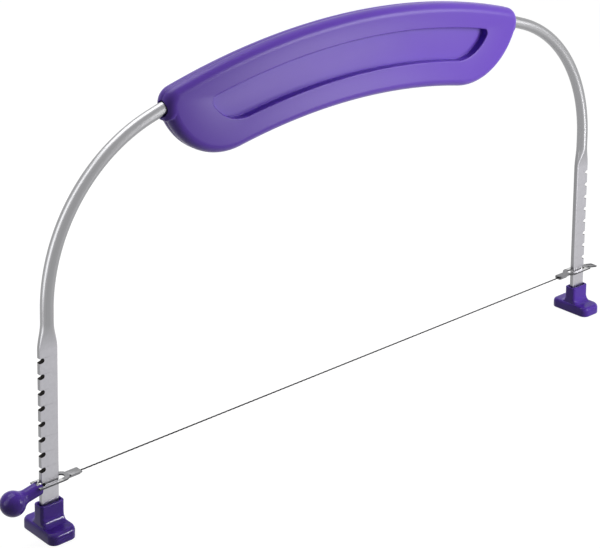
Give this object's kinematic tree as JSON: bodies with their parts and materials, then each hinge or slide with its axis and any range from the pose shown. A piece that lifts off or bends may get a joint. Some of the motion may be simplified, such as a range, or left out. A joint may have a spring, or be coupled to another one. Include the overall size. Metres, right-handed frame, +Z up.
{
  "type": "cake leveler",
  "caption": "Arched metal bow with a moulded grip, notched legs on plastic feet, and a cutting wire whose clips move from notch to notch.",
  "frame": {"origin": "middle of the object's footprint box on the table; the bow's own middle plane stands 3.6 mm from it in +X, because the knob reaches further out than the bare tab", "axes": "+X along the bow from the leg with the pull knob to the other leg, +Y through the thin bow from its front face to its back face, +Z up from the table to the grip"},
  "size_m": [0.3252, 0.0202, 0.1659],
  "materials": {
    "bow": "satin wire rod, bright along the bends",
    "grip_plastic": "fine satin moulded purple plastic",
    "foot_plastic": "glossier, deeper purple plastic",
    "clip_steel": "stamped sheet steel",
    "wire_steel": "fine twisted steel wire"
  },
  "bodies": {
    "frame": {"bow_frame": "bow", "handle_front_shell": "grip_plastic", "handle_back_shell": "grip_plastic", "left_foot": "foot_plastic", "right_foot": "foot_plastic"},
    "wire": {"cutting_wire": "wire_steel"},
    "left_clip_body": {"left_clip": "clip_steel", "pull_knob": "foot_plastic"},
    "right_clip_body": {"right_clip": "clip_steel"}
  },
  "joints": [
    {"name": "wire_height", "type": "slide", "parent": "frame", "child": "wire", "axis": [0, 0, 1], "range_m": [0, 0.048]},
    {"name": "left_clip_seat", "type": "slide", "parent": "wire", "child": "left_clip_body", "axis": [1, 0, 0], "range_m": [0, 0.0018]},
    {"name": "right_clip_seat", "type": "slide", "parent": "wire", "child": "right_clip_body", "axis": [-1, 0, 0], "range_m": [0, 0.0018]}
  ]
}
